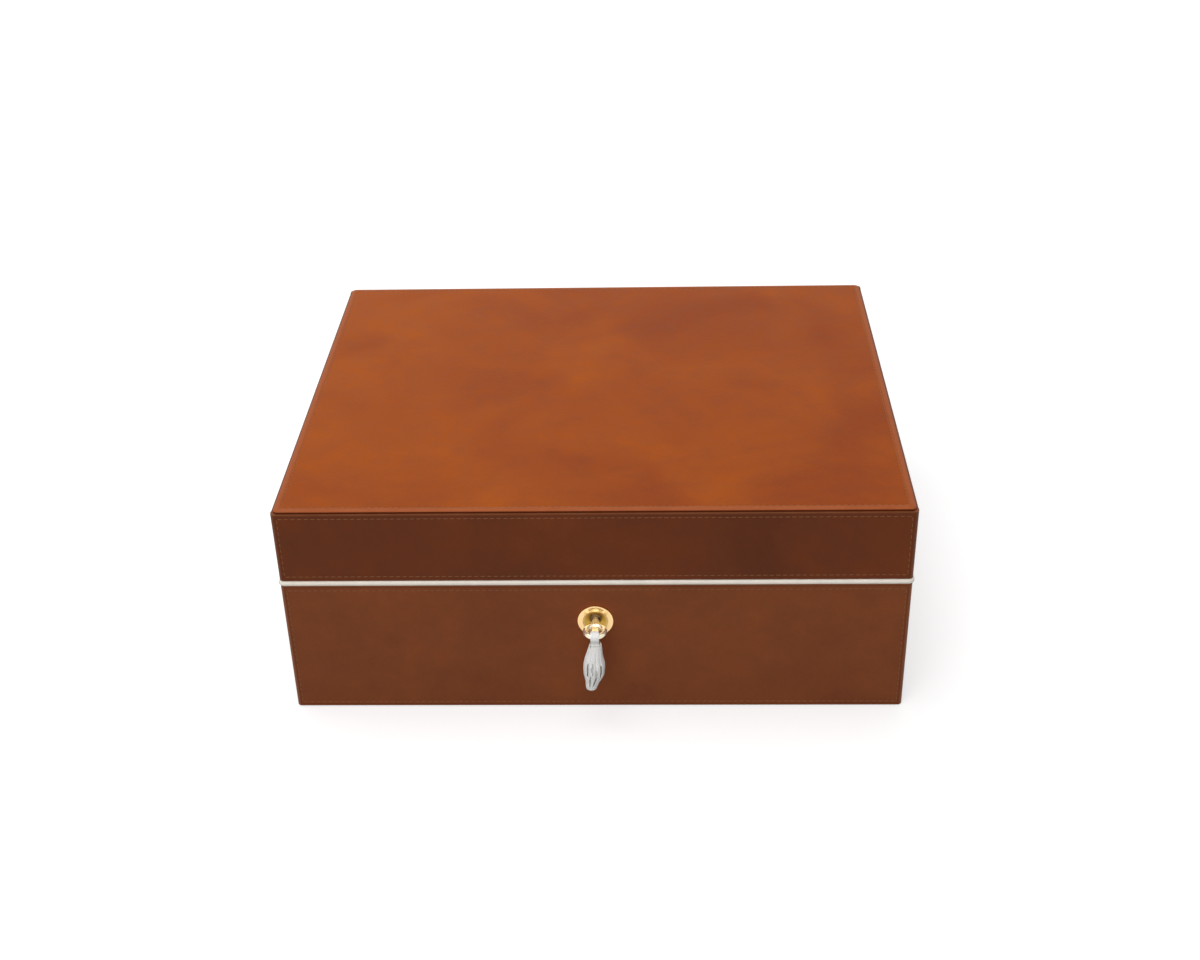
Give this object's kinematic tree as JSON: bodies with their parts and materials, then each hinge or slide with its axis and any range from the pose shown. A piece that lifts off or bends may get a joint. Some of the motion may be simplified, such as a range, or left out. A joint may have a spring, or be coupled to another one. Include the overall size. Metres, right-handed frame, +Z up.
{
  "type": "humidor",
  "caption": "Leather covered humidor with a hinged lid, pale piping, a brass lock plate, a key with a leather tassel, and a cedar lined inside with tray and divider.",
  "frame": {"origin": "middle of the underside, on the flat face of the felt that it rests on", "axes": "+X to the right as seen from the front, +Y to the back, +Z up"},
  "size_m": [0.3216, 0.2883, 0.122],
  "materials": {
    "board_wood": "plain sanded board",
    "case_leather": "smooth tan leather with a soft sheen",
    "piping_leather": "smooth off-white leather",
    "felt": "short felt",
    "cedar": "bare planed cedar",
    "hinge_brass": "polished",
    "lock_brass": "satin",
    "screw_brass": "polished",
    "gilt_brass": "polished pale gold",
    "tassel_leather": "smooth off-white leather",
    "humidifier_plastic": "fine satin",
    "foam": "open foam",
    "magnet_steel": "nickel plated",
    "dial_enamel": "satin white",
    "lens_glass": "clear",
    "pointer_black": "satin"
  },
  "bodies": {
    "base": {"base_front_board": "board_wood", "base_back_board": "board_wood", "base_left_board": "board_wood", "base_right_board": "board_wood", "base_floor_board": "board_wood", "base_front_leather": "case_leather", "base_back_leather": "case_leather", "base_left_leather": "case_leather", "base_right_leather": "case_leather", "rim_piping": "piping_leather", "underside_felt": "felt", "cedar_floor": "cedar", "cedar_front_liner": "cedar", "cedar_back_liner": "cedar", "cedar_left_liner": "cedar", "cedar_right_liner": "cedar", "tray_rails": "cedar", "lock_case": "lock_brass", "lock_cover_plate": "lock_brass", "base_screws": "screw_brass", "key_rosette": "gilt_brass", "left_hinge_base_leaf": "hinge_brass", "right_hinge_base_leaf": "hinge_brass", "hinge_pins": "hinge_brass"},
    "lid": {"lid_top_board": "board_wood", "lid_front_board": "board_wood", "lid_back_board": "board_wood", "lid_left_board": "board_wood", "lid_right_board": "board_wood", "lid_top_leather": "case_leather", "lid_front_leather": "case_leather", "lid_back_leather": "case_leather", "lid_left_leather": "case_leather", "lid_right_leather": "case_leather", "lid_cedar_ceiling": "cedar", "lid_cedar_frame": "cedar", "left_hinge_lid_leaf": "hinge_brass", "right_hinge_lid_leaf": "hinge_brass", "lid_screws": "screw_brass", "link_plate": "lock_brass", "humidifier_case": "humidifier_plastic", "humidifier_grille": "humidifier_plastic", "humidifier_foam": "foam", "humidifier_magnets": "magnet_steel", "hygrometer_case": "gilt_brass", "hygrometer_dial": "dial_enamel", "hygrometer_lens": "lens_glass", "hygrometer_bezel": "gilt_brass"},
    "hygrometer_hand": {"hygrometer_pointer": "pointer_black"},
    "left_stay": {"left_stay_arm": "hinge_brass"},
    "right_stay": {"right_stay_arm": "hinge_brass"},
    "barrel": {"lock_barrel": "lock_brass"},
    "bolt": {"lock_bolt": "lock_brass"},
    "key_body": {"key": "gilt_brass"},
    "loop": {"tassel_loop": "tassel_leather"},
    "strap": {"tassel_strap": "tassel_leather"},
    "skirt": {"tassel_skirt": "tassel_leather"},
    "tray": {"tray_frame": "cedar", "tray_floor": "cedar"},
    "divider_board": {"divider": "cedar"}
  },
  "joints": [
    {"name": "lid_hinge", "type": "hinge", "parent": "base", "child": "lid", "pos_m": [0, 0.1344, 0.08085], "axis": [-1, 0, 0], "range_deg": [0, 95]},
    {"name": "left_stay_turn", "type": "hinge", "parent": "base", "child": "left_stay", "pos_m": [-0.1534, 0.1344, 0.08085], "axis": [-1, 0, 0], "range_deg": [0, 47.5]},
    {"name": "right_stay_turn", "type": "hinge", "parent": "base", "child": "right_stay", "pos_m": [0.1534, 0.1344, 0.08085], "axis": [-1, 0, 0], "range_deg": [0, 47.5]},
    {"name": "key_turn", "type": "hinge", "parent": "base", "child": "barrel", "pos_m": [0, -0.1254, 0.0563], "axis": [0, 1, 0], "range_deg": [0, 90]},
    {"name": "bolt_slide", "type": "slide", "parent": "base", "child": "bolt", "axis": [1, 0, 0], "range_m": [0, 0.005]},
    {"name": "key_pull", "type": "slide", "parent": "barrel", "child": "key_body", "axis": [0, -1, 0], "range_m": [0, 0.03]},
    {"name": "tassel_slip", "type": "hinge", "parent": "key_body", "child": "loop", "pos_m": [0, -0.142, 0.0563], "axis": [0, 0, 1], "range_deg": [0, 90]},
    {"name": "tassel_tilt", "type": "hinge", "parent": "loop", "child": "strap", "pos_m": [0, -0.1468, 0.0563], "axis": [-1, 0, 0], "range_deg": [0, 90]},
    {"name": "tassel_swing", "type": "hinge", "parent": "strap", "child": "skirt", "pos_m": [0, -0.1468, 0.0517], "axis": [-1, 0, 0], "range_deg": [-10, 60]},
    {"name": "tray_slide", "type": "slide", "parent": "base", "child": "tray", "axis": [1, 0, 0], "range_m": [0, 0.1436]},
    {"name": "divider_slide", "type": "slide", "parent": "base", "child": "divider_board", "axis": [1, 0, 0], "range_m": [-0.1806, 0.1006]},
    {"name": "hygrometer_turn", "type": "hinge", "parent": "lid", "child": "hygrometer_hand", "pos_m": [0.08913, 0, 0.0979], "axis": [0, 0, 1], "range_deg": [-135, 135]}
  ],
  "couplings": [
    {"joint": "left_stay_turn", "follows": "lid_hinge", "ratio": 0.5},
    {"joint": "right_stay_turn", "follows": "lid_hinge", "ratio": 0.5},
    {"joint": "bolt_slide", "follows": "key_turn", "m_per_rad": 0.003183},
    {"joint": "tassel_slip", "follows": "key_turn", "ratio": 1},
    {"joint": "tassel_tilt", "follows": "key_turn", "ratio": 1}
  ]
}
